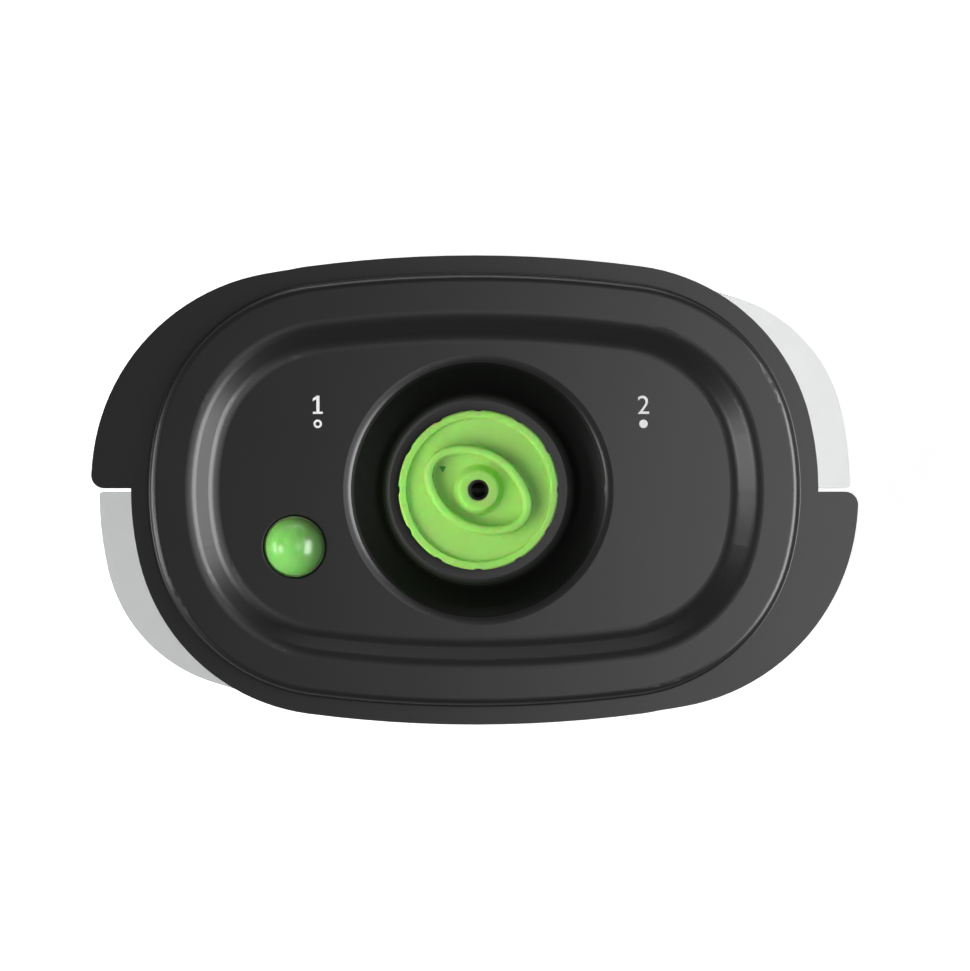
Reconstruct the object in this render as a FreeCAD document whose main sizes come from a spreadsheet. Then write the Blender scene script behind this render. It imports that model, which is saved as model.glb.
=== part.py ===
import FreeCAD, Part
import math
import os
import re
import Sketcher

# An oval vacuum marinating canister: a clear food tray, a black lid with a gasket, a green
# two-position dial whose hollow stem holds a vent and a check valve, and a green dome that
# sinks when the canister is under vacuum.
# Frame: +X along the tray, +Y across it, +Z up, origin under the middle of the tray's foot.

# Driving dimensions: name, size in millimetres (an angle in degrees), meaning.
DIMENSIONS = [
    ("lid_length", 259.8, "lid along its oval, without the tabs"),
    ("lid_width", 177.4, "lid across its oval"),
    ("side_radius", 480, "radius of the oval's long sides"),
    ("end_radius", 116, "radius of the oval's ends"),
    ("end_sweep", 13.6, "half angle of the oval's end arcs"),
    ("tray_height", 82, "tray from its foot to its rim"),
    ("tray_wall", 2.6, "tray wall"),
    ("tray_floor", 2.6, "tray floor"),
    ("tray_lean", 8, "how far the tray's wall leans in on its way down"),
    ("tray_round", 11, "outer round between the tray's wall and its foot"),
    ("foot_height", 1.6, "foot ring below the tray's floor"),
    ("foot_run", 16, "from the foot of the wall to the inside of the foot ring"),
    ("rim_gap", 0.6, "clearance on both sides of the tray's rim"),
    ("rim_width", 4.8, "tray rim across"),
    ("rim_round", 0.8, "round on the tray rim's edges"),
    ("floor_lap", 4, "flat stretch where a wall's section meets a floor plate"),
    ("gasket_height", 2.6, "gasket under the lid's flange"),
    ("gasket_gap", 0.2, "clearance beside the gasket"),
    ("gasket_round", 0.6, "round on the gasket's lower edges"),
    ("lid_wall", 2.4, "lid wall"),
    ("skirt_depth", 8, "lid skirt below the top of the flange"),
    ("edge_round", 0.9, "round on the flange's outer edge"),
    ("step_inset", 7.2, "flange across, out to the lid's outline"),
    ("step_rise", 6.4, "land above the flange"),
    ("step_foot", 0.6, "inner round at the foot of the step"),
    ("step_lip", 3, "round on the lip of the step"),
    ("plug_wall", 2.2, "locating rib inside the tray's rim"),
    ("recess_inset", 23, "slope of the recess inside the lid's outline"),
    ("recess_run", 8.1, "slope of the recess in plan"),
    ("recess_depth", 6.1, "recess below the land"),
    ("recess_round", 7, "rounds at both ends of the slope"),
    ("tab_gap", 0.6, "each tab's end from the middle line"),
    ("tab_clearance", 0.6, "tray tab below the lid's skirt"),
    ("tray_tab_wall", 3, "tray tab"),
    ("lid_tab_reach", 15.2, "lid tab beyond the end of the oval"),
    ("lid_tab_side", 457, "lid tab: radius along the side"),
    ("lid_tab_end", 107, "lid tab: radius round the end"),
    ("lid_tab_sweep", 7.65, "lid tab: angle of the end arc"),
    ("lid_tab_round", 5, "lid tab: round at its tip"),
    ("tray_tab_reach", 12.5, "tray tab beyond the end of the oval"),
    ("tray_tab_side", 320, "tray tab: radius along the side"),
    ("tray_tab_end", 138, "tray tab: radius round the end"),
    ("tray_tab_sweep", 12.47, "tray tab: angle of the end arc"),
    ("tray_tab_round", 1.6, "tray tab: round at its tip"),
    ("dial_x", 1.4, "dial and its well along the lid"),
    ("well_mouth", 48.7, "radius of the well's mouth"),
    ("well_gap", 5.7, "well's wall from the knob, at the well's floor"),
    ("well_depth", 14, "well below the recess"),
    ("well_lip", 5.5, "round on the well's lip"),
    ("well_foot", 5, "inner round at the well's floor"),
    ("well_lap", 3, "flat stretch round the well's lip"),
    ("vent_radius", 2, "vent hole in the well's floor"),
    ("hub_wall", 3, "hub round the stem"),
    ("hub_depth", 9, "hub below the well's floor"),
    ("spigot_room", 0.7, "spigot clear of the vent hole"),
    ("spigot_wall", 1.8, "spigot that carries the splash guard"),
    ("spigot_depth", 4.5, "spigot below the well"),
    ("snap_bead", 0.5, "bead that the splash guard snaps over"),
    ("snap_length", 1, "half length of that bead"),
    ("stop_pin", 2, "radius of a stop pin"),
    ("stop_room", 1.9, "clearance on both sides of the stop pins"),
    ("stop_gap", 0.3, "clearance between stop pins at the end of a turn"),
    ("knob_turn", 127, "turn of the knob between its two positions"),
    ("knob_angle", 150, "where the knob's pointer stands at rest"),
    ("knob_radius", 30.3, "knob"),
    ("knob_gap", 0.6, "knob above the well's floor"),
    ("knob_over", 1.4, "stop pins below the knob's plate, and its cup above the well's floor"),
    ("knob_rim_width", 3, "knob rim across"),
    ("knob_rim_rise", 2.4, "knob rim above the dish"),
    ("knob_rim_round", 1.1, "round on the knob's rim"),
    ("dish_height", 7, "knob's dish above the well's floor"),
    ("dish_round", 0.9, "round at the foot of the rim and the boss"),
    ("knob_plate", 2.6, "knob plate"),
    ("knob_skirt", 2.4, "knob skirt"),
    ("notch_count", 12, "notches round the knob"),
    ("notch_radius", 4, "radius of a notch"),
    ("notch_depth", 0.5, "depth of a notch"),
    ("grip_gap", 5.3, "grip ring's ends from the knob's rim"),
    ("grip_channel", 2.7, "channel between the grip ring and the boss"),
    ("grip_end", 11, "radius of the grip ring's ends"),
    ("grip_wall", 3.4, "grip ring"),
    ("grip_rise", 6.4, "grip ring above the dish"),
    ("grip_round", 1.5, "round on the grip ring's top"),
    ("grip_foot", 0.6, "round at the grip ring's foot"),
    ("boss_wall", 3.6, "boss round the port, at its top"),
    ("boss_flare", 2, "how much wider the boss is at its foot"),
    ("boss_rise", 5.2, "boss above the dish"),
    ("boss_round", 1.5, "round on the boss"),
    ("pointer_circle", 15.6, "pointer mark from the axis"),
    ("pointer_turn", 120, "angle between the mark's tip and the grip's axis"),
    ("pointer_width", 2.7, "pointer mark across"),
    ("pointer_height", 2.4, "pointer mark from its base to its tip"),
    ("pointer_depth", 0.4, "pointer mark, engraved"),
    ("bore_radius", 2.9, "bore of the port seal and the stem"),
    ("seal_wall", 1, "port seal"),
    ("port_depth", 8.4, "port down to its shoulder"),
    ("port_lead", 0.6, "port seal below the top of the boss"),
    ("seal_lead", 2, "funnel at the top of the port seal"),
    ("seal_lip", 0.1, "edge left round the funnel"),
    ("stem_radius", 7.9, "stem"),
    ("stem_gap", 0.1, "running clearance of the stem in its hub"),
    ("stem_tail", 4, "stem below its clip"),
    ("gallery_radius", 1.2, "cross hole from the stem's bore to the vent"),
    ("o_ring_wire", 0.9, "radius of the stem O-ring's section"),
    ("o_ring_drop", 4.5, "stem O-ring below the well's floor"),
    ("washer_wall", 1, "thrust washer"),
    ("stem_spring_height", 4.1, "stem spring as fitted"),
    ("stem_spring_wire", 0.4, "radius of the stem spring's wire"),
    ("stem_spring_turns", 2.5, "turns of the stem spring"),
    ("clip_wall", 0.9, "retaining clip"),
    ("clip_play", 0.1, "clearance of the clip in its groove"),
    ("clip_groove", 0.9, "depth of the clip's groove"),
    ("clip_width", 2.5, "retaining clip beyond the stem"),
    ("clip_mouth", 10, "opening of the retaining clip"),
    ("disc_inset", 3.1, "valve disc clear of the stem"),
    ("disc_gap", 0.1, "valve disc above its seat, and clear of its cup"),
    ("disc_cup", 1.6, "wall of the cup that holds the valve disc"),
    ("disc_notch", 5, "width of the disc's vent notch"),
    ("disc_key", 2.6, "width of the key that turns the disc"),
    ("disc_key_depth", 1.2, "key into the disc"),
    ("stem_wall", 1.9, "stem round the duckbill's flange"),
    ("valve_ledge", 1.4, "ledge that the duckbill's flange seats on"),
    ("valve_flange", 1.4, "duckbill's flange"),
    ("valve_room_height", 8, "room above the duckbill's flange"),
    ("bill_height", 6.4, "duckbill above its flange"),
    ("bill_gap", 1.6, "duckbill's root clear of the stem"),
    ("bill_flare", 0.6, "how much longer the lips are than the root"),
    ("bill_lip", 1.1, "duckbill's lips across"),
    ("bill_wall", 1, "duckbill's wall"),
    ("bill_slit", 0.2, "slit between the lips"),
    ("bill_round", 0.4, "share of the bill's width that is round"),
    ("retainer_wall", 2, "valve retainer"),
    ("retainer_lip", 2.6, "valve retainer across"),
    ("guard_wall", 1.6, "splash guard"),
    ("guard_gap", 0.15, "clearance of the splash guard on its spigot"),
    ("guard_room", 2, "inside of the splash guard below the stem"),
    ("guard_round", 4, "round at the splash guard's base"),
    ("guard_vents", 8, "vents round the splash guard"),
    ("guard_vent_width", 6, "width of a vent"),
    ("guard_vent_height", 5, "height of a vent"),
    ("guard_vent_gap", 1.1, "vents below the spigot"),
    ("indicator_x", -68.1, "indicator along the lid"),
    ("indicator_y", -21.4, "indicator across the lid"),
    ("indicator_travel", 4, "how far the indicator sinks"),
    ("travel_spare", 1.4, "room left under the sunken piston"),
    ("dome_radius", 10.8, "indicator dome"),
    ("dome_height", 7.5, "indicator dome above the recess"),
    ("dome_gap", 0.7, "clearance round the dome in the lid"),
    ("dome_lip", 1, "round on the lip of the dome's hole"),
    ("piston_lap", 0.9, "indicator piston beyond the dome's hole"),
    ("piston_gap", 0.2, "clearance of the piston in its guide"),
    ("piston_height", 5.5, "indicator piston"),
    ("piston_wall", 2.3, "piston between its O-ring's groove and its hollow"),
    ("piston_ring_wire", 0.8, "radius of the piston O-ring's section"),
    ("piston_ring_gap", 0.1, "piston O-ring clear of the guide"),
    ("guide_wall", 2.2, "indicator guide"),
    ("spring_seat", 2, "spring seat in the indicator below the recess"),
    ("spring_ledge", 2.6, "ledge that the spring pushes on"),
    ("spring_gap", 0.85, "spring clear of the piston"),
    ("crown_height", 2.5, "hollow above the recess"),
    ("crown_round", 3, "round at the top of the hollow"),
    ("indicator_spring_wire", 0.45, "radius of the indicator spring's wire"),
    ("indicator_spring_turns", 5, "turns of the indicator spring"),
    ("cup_wall", 2, "indicator cup"),
    ("cup_gap", 0.15, "clearance of the cup on its guide"),
    ("cup_height", 6, "indicator cup"),
    ("cup_vent", 3, "radius of the hole in the cup"),
]

# Tolerance for telling edges apart, and the share of a side that the rounds at its ends may take.
TOUCH = 0.001
ROUND_SHARE = 0.98

doc = FreeCAD.newDocument("MarinatingCanister")
sheet = doc.addObject("Spreadsheet::Sheet", "Dims")
for row, (name, amount, meaning) in enumerate(DIMENSIONS, start=1):
    sheet.set(f"A{row}", name)
    sheet.set(f"B{row}", str(amount))
    sheet.setAlias(f"B{row}", name)
    sheet.set(f"C{row}", meaning)
doc.recompute()
NAMES = {name for name, amount, meaning in DIMENSIONS}


def blend_radius(end_x, side_y, side, end, sweep):
    """Return the formula for the radius that joins an end arc of a given angle to a side arc.

    The end arc's centre is at end_x on the X axis, the side arc's at side_y on the Y axis.
    """
    span = f"({side} - {end})"
    reach = f"({span}^2 - {end_x}^2 - {side_y}^2)"
    return f"({end} - {reach}/(2*({end_x}*cos({sweep}) - {side_y}*sin({sweep}) - {span})))"


# Levels and places that several pieces share, as formulas of the driving dimensions.
HALF = "lid_length/2"
END_X = f"({HALF} - end_radius)"
SIDE_Y = "(lid_width/2 - side_radius)"
CORNER = blend_radius(END_X, SIDE_Y, "side_radius", "end_radius", "end_sweep")
FLANGE = "(tray_height + gasket_height + lid_wall)"
SKIRT = f"({FLANGE} - skirt_depth)"
TRAY_TAB = f"({SKIRT} - tab_clearance)"
LAND = f"({FLANGE} + step_rise)"
RECESS = f"({LAND} - recess_depth)"
WELL = f"({RECESS} - well_depth)"
RIM_INSET = "(lid_wall + rim_gap)"
PLUG_INSET = f"({RIM_INSET} + rim_width + rim_gap)"
RECESS_END = "(recess_inset + recess_run + floor_lap)"
WELL_BASE = "(knob_radius + well_gap)"
WELL_SHIFT = f"(lid_wall*tan(atan(well_depth/(well_mouth - {WELL_BASE}))/2))"

# The knob and what turns with it, from the outside inwards; heights are above the well's floor.
SKIRT_INSIDE = "(knob_radius - knob_skirt)"
STOP_CIRCLE = f"({SKIRT_INSIDE} - stop_room - stop_pin)"
CUP_OUTSIDE = f"({STOP_CIRCLE} - stop_pin - stop_room)"
DISC_ROOM = f"({CUP_OUTSIDE} - disc_cup)"
DISC = f"({DISC_ROOM} - disc_gap)"
DISC_BORE = "(stem_radius + disc_inset)"
VENT_CIRCLE = f"(({DISC_BORE} + {DISC})/2)"
SPIGOT = f"({VENT_CIRCLE} + vent_radius + spigot_room + spigot_wall)"
PORT = "(bore_radius + seal_wall)"
BOSS_FOOT = f"({PORT} + boss_wall + boss_flare)"
GRIP_ALONG = "(knob_radius - knob_rim_width - grip_gap)"
GRIP_ACROSS = f"({BOSS_FOOT} + grip_channel + grip_wall)"
BOSS_TOP = "(dish_height + boss_rise)"
RIM_TOP = "(dish_height + knob_rim_rise)"
PLATE_UNDER = "(dish_height - knob_plate)"

# The stem, from the well's floor downwards.
HUB_BORE = "(stem_radius + stem_gap)"
HUB = f"({HUB_BORE} + hub_wall)"
WASHER_TOP = "(-hub_depth)"
SPRING_TOP = f"({WASHER_TOP} - washer_wall)"
CLIP_TOP = f"({SPRING_TOP} - stem_spring_height)"
CLIP_BASE = f"({CLIP_TOP} - clip_wall)"
STEM_END = f"({CLIP_BASE} - stem_tail)"
VALVE_SEAT = f"({STEM_END} + retainer_wall + valve_flange)"
VALVE_BORE = "(stem_radius - stem_wall)"
VALVE_ROOM = f"({VALVE_BORE} - valve_ledge)"
BILL_ROOT = f"(2*({VALVE_ROOM} - bill_gap))"
BEAD = "(snap_length - lid_wall - spigot_depth)"

# The indicator, about its own axis.
DOME_HOLE = "(dome_radius + dome_gap)"
PISTON = f"({DOME_HOLE} + piston_lap)"
GUIDE_BORE = f"({PISTON} + piston_gap)"
PISTON_RING = f"({GUIDE_BORE} - piston_ring_gap - piston_ring_wire)"
RING_GROOVE = f"({PISTON_RING} - piston_ring_wire)"
CAVITY = f"({RING_GROOVE} - piston_wall)"
GUIDE_DEPTH = "(lid_wall + piston_height + indicator_travel + travel_spare)"


def bound(formula):
    """Return the formula as a document expression that reads its sizes from the sheet."""
    return re.sub(r"[a-z][a-z_]*",
                  lambda word: f"Dims.{word[0]}" if word[0] in NAMES else word[0], formula)


def size(formula):
    """Return what the formula comes to now."""
    return float(sheet.evalExpression(formula))


def new_body(name, x="0", y="0", z="0"):
    """Start a moulded or turned piece, with its own origin at a place in the canister."""
    body = doc.addObject("PartDesign::Body", name)
    body.Label = name
    for axis, formula in zip("xyz", (x, y, z)):
        body.setExpression(f"Placement.Base.{axis}", bound(formula))
    return body


def origin_item(body, role):
    """Return one of the body's own origin planes or axes."""
    return next(item for item in body.Origin.OriginFeatures if item.Role == role)


def new_sketch(body, name, plane="XY_Plane", height="0"):
    """Start a sketch on one of the body's origin planes, at a height above it."""
    sketch = body.newObject("Sketcher::SketchObject", name)
    sketch.AttachmentSupport = (origin_item(body, plane), [""])
    sketch.MapMode = "FlatFace"
    sketch.setExpression("AttachmentOffset.Base.z", bound(height))
    return sketch


def constrain(sketch, formula, kind, *where):
    """Add a dimension to the sketch and bind it to the sheet."""
    index = sketch.addConstraint(Sketcher.Constraint(kind, *where, size(formula)))
    sketch.setExpression(f"Constraints[{index}]", bound(formula))


def fix_point(sketch, item, end, x, y):
    """Hold a point of the sketch at x, y from its origin."""
    constrain(sketch, x, "DistanceX", -1, 1, item, end)
    constrain(sketch, y, "DistanceY", -1, 1, item, end)


def circle(sketch, radius, x="0", y="0"):
    """Draw a circle."""
    centre = FreeCAD.Vector(size(x), size(y), 0)
    item = sketch.addGeometry(Part.Circle(centre, FreeCAD.Vector(0, 0, 1), size(radius)))
    fix_point(sketch, item, 3, x, y)
    constrain(sketch, radius, "Radius", item)


def arc(centre, radius, start, end):
    """Return an arc that runs anticlockwise from the direction of start to that of end."""
    angles = [math.atan2(point.y - centre.y, point.x - centre.x) for point in (start, end)]
    ring = Part.Circle(centre, FreeCAD.Vector(0, 0, 1), radius)
    return Part.ArcOfCircle(ring, *angles)


def rounded_radii(points, radii):
    """Limit each corner's radius so that the rounds at both ends of a side leave it room.

    Returns the share of its radius that each corner keeps, and the length that it takes off
    the sides beside it.
    """
    count = len(points)
    trims = []
    for i, radius in enumerate(radii):
        opening = (points[i - 1] - points[i]).getAngle(points[(i + 1) % count] - points[i])
        trims.append(radius/math.tan(opening/2))
    shares = [1.0]*count
    for i in range(count):
        ahead = (i + 1) % count
        room = ROUND_SHARE*(points[ahead] - points[i]).Length
        if trims[i] + trims[ahead] > room:
            share = room/(trims[i] + trims[ahead])
            shares[i] = min(shares[i], share)
            shares[ahead] = min(shares[ahead], share)
    return shares, [trim*share for trim, share in zip(trims, shares)]


def outline(sketch, corners):
    """Draw a closed outline through corners (x, y), (x, y, round) or (x, y, None, sweep).

    All are formulas. A round is an arc at the corner, a sweep the radius of an anticlockwise
    arc that takes the place of the straight side to the next corner.
    """
    points = [FreeCAD.Vector(size(corner[0]), size(corner[1]), 0) for corner in corners]
    rounds = [corner[2] if len(corner) > 2 else None for corner in corners]
    sweeps = [corner[3] if len(corner) > 3 else None for corner in corners]
    radii = [size(formula) if formula else 0.0 for formula in rounds]
    shares, trims = rounded_radii(points, radii)
    count = len(points)
    ways = [(points[(i + 1) % count] - points[i]).normalize() for i in range(count)]
    sides = []
    for i in range(count):
        start = points[i] + ways[i]*trims[i]
        end = points[(i + 1) % count] - ways[i]*trims[(i + 1) % count]
        if not sweeps[i]:
            sides.append(sketch.addGeometry(Part.LineSegment(start, end)))
            continue
        radius, half = size(sweeps[i]), (end - start).Length/2
        inward = FreeCAD.Vector(-ways[i].y, ways[i].x, 0)
        centre = (start + end)/2 + inward*math.sqrt(radius**2 - half**2)
        sides.append(sketch.addGeometry(arc(centre, radius, start, end)))
        constrain(sketch, sweeps[i], "Radius", sides[i])
    for i in range(count):
        before, after = sides[i - 1], sides[i]
        x, y = corners[i][:2]
        if not rounds[i]:
            sketch.addConstraint(Sketcher.Constraint("Coincident", before, 2, after, 1))
            fix_point(sketch, after, 1, x, y)
            continue
        radius = radii[i]*shares[i]
        leave = points[i] - ways[i - 1]*trims[i]
        join = points[i] + ways[i]*trims[i]
        inward = (ways[i] - ways[i - 1]).normalize()
        centre = points[i] + inward*math.hypot(radius, trims[i])
        left_turn = ways[i - 1].cross(ways[i]).z > 0
        ends = (leave, join) if left_turn else (join, leave)
        bend = sketch.addGeometry(arc(centre, radius, *ends))
        first, last = (1, 2) if left_turn else (2, 1)
        sketch.addConstraint(Sketcher.Constraint("Tangent", before, 2, bend, first))
        sketch.addConstraint(Sketcher.Constraint("Tangent", bend, last, after, 1))
        constrain(sketch, f"({rounds[i]})*{shares[i]}", "Radius", bend)
        corner = sketch.addGeometry(Part.Point(points[i]), True)
        for side in (before, after):
            sketch.addConstraint(Sketcher.Constraint("PointOnObject", corner, 1, side))
        fix_point(sketch, corner, 1, x, y)


def box(sketch, x, y, along, across):
    """Draw a rectangle about a middle point."""
    left, right = f"({x}) - ({along})/2", f"({x}) + ({along})/2"
    near, far = f"({y}) - ({across})/2", f"({y}) + ({across})/2"
    outline(sketch, [(left, near), (right, near), (right, far), (left, far)])


def blend_centre(side, side_reach, end, end_reach, way):
    """Return the point at given distances from two centres, to the +X or -X side of them."""
    span = end - side
    along = (side_reach**2 - end_reach**2 + span.Length**2)/(2*span.Length)
    off = math.sqrt(side_reach**2 - along**2)
    heading = FreeCAD.Vector(span).normalize()
    across = FreeCAD.Vector(-heading.y, heading.x, 0)
    middle = side + heading*along
    return max((middle + across*off, middle - across*off), key=lambda point: way*point.x)


def mirrored(point, x, y):
    """Return the point with the signs of its two coordinates changed."""
    return FreeCAD.Vector(point.x*x, point.y*y, 0)


def oval(sketch, inset="0"):
    """Draw the canister's oval, moved in by an inset, as arcs from the +X end round to it."""
    side, end, corner = [size(f"{radius} - ({inset})")
                         for radius in ("side_radius", "end_radius", CORNER)]
    end_centre = FreeCAD.Vector(size(END_X), 0, 0)
    side_centre = FreeCAD.Vector(0, size(SIDE_Y), 0)
    corner_centre = blend_centre(side_centre, side - corner, end_centre, end - corner, 1)
    upper = side_centre + (corner_centre - side_centre).normalize()*side
    outer = end_centre + (corner_centre - end_centre).normalize()*end
    tip = end_centre + FreeCAD.Vector(end, 0, 0)
    flips = [(1, 1), (-1, 1), (-1, -1), (1, -1)]
    knees = [(mirrored(outer, *flip), mirrored(upper, *flip)) for flip in flips]
    centres = [mirrored(corner_centre, *flip) for flip in flips]
    arcs = [
        arc(end_centre, end, tip, knees[0][0]),
        arc(centres[0], corner, *knees[0]),
        arc(side_centre, side, knees[0][1], knees[1][1]),
        arc(centres[1], corner, *reversed(knees[1])),
        arc(-end_centre, end, knees[1][0], knees[2][0]),
        arc(centres[2], corner, *knees[2]),
        arc(-side_centre, side, knees[2][1], knees[3][1]),
        arc(centres[3], corner, *reversed(knees[3])),
        arc(end_centre, end, knees[3][0], tip),
    ]
    first = [sketch.addGeometry(item) for item in arcs][0]
    last = first + len(arcs) - 1
    for item in range(first, last):
        sketch.addConstraint(Sketcher.Constraint("Tangent", item, 2, item + 1, 1))
    sketch.addConstraint(Sketcher.Constraint("Coincident", last, 3, first, 3))
    sketch.addConstraint(Sketcher.Constraint("Coincident", last, 2, first, 1))
    sketch.addConstraint(Sketcher.Constraint("PointOnObject", first, 1, -1))
    for item, sign in ((first, ""), (first + 4, "-")):
        fix_point(sketch, item, 3, f"{sign}{END_X}", "0")
        constrain(sketch, f"end_radius - ({inset})", "Radius", item)
    for item, sign in ((first + 2, ""), (first + 6, "-")):
        fix_point(sketch, item, 3, "0", f"{sign}{SIDE_Y}")
        constrain(sketch, f"side_radius - ({inset})", "Radius", item)
    for item in range(first + 1, last, 2):
        constrain(sketch, f"{CORNER} - ({inset})", "Radius", item)


def tab(sketch, kind, way):
    """Draw one pry tab at the -X end, on the +Y side for a way of 1 and the -Y side for -1."""
    side, end, sweep, tip = [f"{kind}_tab_{part}" for part in ("side", "end", "sweep", "round")]
    end_x = f"({HALF} + {kind}_tab_reach - {end})"
    side_y = f"(lid_width/2 - {side})"
    corner = blend_radius(end_x, side_y, side, end, sweep)
    end_centre = FreeCAD.Vector(-size(end_x), 0, 0)
    side_centre = FreeCAD.Vector(0, size(side_y), 0)
    corner_centre = blend_centre(side_centre, size(f"{side} - {corner}"),
                                 end_centre, size(f"{end} - {corner}"), -1)
    side_centre, corner_centre = mirrored(side_centre, 1, way), mirrored(corner_centre, 1, way)
    tip_y = size(f"tab_gap + {tip}")
    tip_x = end_centre.x - math.sqrt(size(f"{end} - {tip}")**2 - tip_y**2)
    tip_centre = FreeCAD.Vector(tip_x, way*tip_y, 0)
    start = FreeCAD.Vector(0, way*size("lid_width/2"), 0)
    knee = side_centre + (corner_centre - side_centre).normalize()*size(side)
    shoulder = end_centre + (corner_centre - end_centre).normalize()*size(end)
    turn = end_centre + (tip_centre - end_centre).normalize()*size(end)
    finish = FreeCAD.Vector(tip_x, way*size("tab_gap"), 0)
    bends = [
        (side_centre, size(side), start, knee),
        (corner_centre, size(corner), knee, shoulder),
        (end_centre, size(end), shoulder, turn),
        (tip_centre, size(tip), turn, finish),
    ]
    first, last = (1, 2) if way > 0 else (2, 1)
    items = []
    for centre, radius, begin, stop in bends:
        ends = (begin, stop) if way > 0 else (stop, begin)
        items.append(sketch.addGeometry(arc(centre, radius, *ends)))
    inner_x, heart_y = f"(end_radius/2 - {HALF})", f"({way}*(lid_width - end_radius)/2)"
    inner = FreeCAD.Vector(size(inner_x), way*size("tab_gap"), 0)
    heart = FreeCAD.Vector(0, size(heart_y), 0)
    runs = [(finish, inner), (inner, heart), (heart, start)]
    lines = [sketch.addGeometry(Part.LineSegment(*run)) for run in runs]
    for item, following in zip(items, items[1:]):
        sketch.addConstraint(Sketcher.Constraint("Tangent", item, last, following, first))
    sketch.addConstraint(Sketcher.Constraint("Tangent", items[3], last, lines[0], 1))
    for item, following in zip(lines, lines[1:]):
        sketch.addConstraint(Sketcher.Constraint("Coincident", item, 2, following, 1))
    sketch.addConstraint(Sketcher.Constraint("Coincident", lines[2], 2, items[0], first))
    fix_point(sketch, items[0], 3, "0", f"{way}*{side_y}")
    fix_point(sketch, items[2], 3, f"-{end_x}", "0")
    for item, radius in zip(items, (side, corner, end, tip)):
        constrain(sketch, radius, "Radius", item)
    fix_point(sketch, lines[0], 2, inner_x, f"{way}*tab_gap")
    sketch.addConstraint(Sketcher.Constraint("Horizontal", lines[0]))
    fix_point(sketch, lines[1], 2, "0", heart_y)
    sketch.addConstraint(Sketcher.Constraint("PointOnObject", items[0], first, -2))


def pad(body, name, sketch, height):
    """Raise the sketch's outline into the body."""
    feature = body.newObject("PartDesign::Pad", name)
    feature.Profile = sketch
    feature.setExpression("Length", bound(height))
    return feature


def pocket(body, name, sketch, depth, both_ways=False):
    """Cut the sketch's outline down into the body, or the depth to each side of the sketch."""
    feature = body.newObject("PartDesign::Pocket", name)
    feature.Profile = sketch
    if both_ways:
        feature.Midplane = True
        depth = f"2*({depth})"
    feature.setExpression("Length", bound(depth))
    return feature


def revolve(body, name, corners, x="0"):
    """Turn an outline of radius and height about the body's Z axis, or one beside it at x."""
    sketch = new_sketch(body, f"{name}_section", "XZ_Plane")
    sketch.setExpression("AttachmentOffset.Base.x", bound(x))
    outline(sketch, corners)
    feature = body.newObject("PartDesign::Revolution", name)
    feature.Profile = sketch
    feature.ReferenceAxis = (sketch, ["V_Axis"])
    feature.Angle = 360
    return feature


def sweep_round(body, name, corners):
    """Carry an outline of distance along X and height round the canister's oval."""
    path = new_sketch(body, f"{name}_path")
    oval(path)
    section = new_sketch(body, f"{name}_section", "XZ_Plane")
    outline(section, corners)
    feature = body.newObject("PartDesign::AdditivePipe", name)
    feature.Profile = section
    feature.Spine = path
    return feature


def repeat(body, name, feature, count):
    """Repeat a feature evenly about the body's Z axis."""
    pattern = body.newObject("PartDesign::PolarPattern", name)
    pattern.Originals = [feature]
    pattern.Axis = (origin_item(body, "Z_Axis"), [""])
    pattern.Angle = 360
    pattern.setExpression("Occurrences", bound(count))
    body.Tip = pattern
    return pattern


def edges_of(feature, wanted):
    """Return the names of a feature's edges that pass a test."""
    doc.recompute()
    return [f"Edge{i}" for i, edge in enumerate(feature.Shape.Edges, start=1) if wanted(edge)]


def soften(body, name, feature, wanted, radius):
    """Round the edges of a feature that pass a test."""
    softened = body.newObject("PartDesign::Fillet", name)
    softened.Base = (feature, edges_of(feature, wanted))
    softened.setExpression("Radius", bound(radius))
    return softened


def tabbed_plate(body, kind, way, top, thick, inset, hole_inset):
    """Start a moulding with a flat oval ring that carries two pry tabs, half a turn apart."""
    plate = new_sketch(body, "plate_outline", height=f"{top} - {thick}")
    oval(plate, inset)
    pad(body, "plate", plate, thick)
    tab_sketch = new_sketch(body, "tab_outline", height=f"{top} - {thick}")
    tab(tab_sketch, kind, way)
    repeat(body, "tabs", pad(body, "tab", tab_sketch, thick), "2")
    hole = new_sketch(body, "plate_hole", height=top)
    oval(hole, hole_inset)
    pocket(body, "plate_opening", hole, thick)


def spring(name, x, y, base, height, radius, wire, turns):
    """Wind a helical spring that stands on its base, with its axis at x, y."""
    body = new_body(name, x, y, base)
    section = new_sketch(body, "wire_section", "XZ_Plane")
    circle(section, wire, radius, wire)
    coil = body.newObject("PartDesign::AdditiveHelix", "coil")
    coil.Profile = section
    coil.ReferenceAxis = (section, ["V_Axis"])
    coil.Mode = "height-turns-angle"
    coil.setExpression("Height", bound(f"{height} - 2*({wire})"))
    coil.setExpression("Turns", bound(turns))
    return body


def o_ring(name, radius, wire, x, y, z):
    """O-ring with its axis at x, y and its middle at z."""
    ring = doc.addObject("Part::Torus", name)
    ring.Label = name
    ring.setExpression("Radius1", bound(radius))
    ring.setExpression("Radius2", bound(wire))
    for axis, formula in zip("xyz", (x, y, z)):
        ring.setExpression(f"Placement.Base.{axis}", bound(formula))
    return ring


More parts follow.
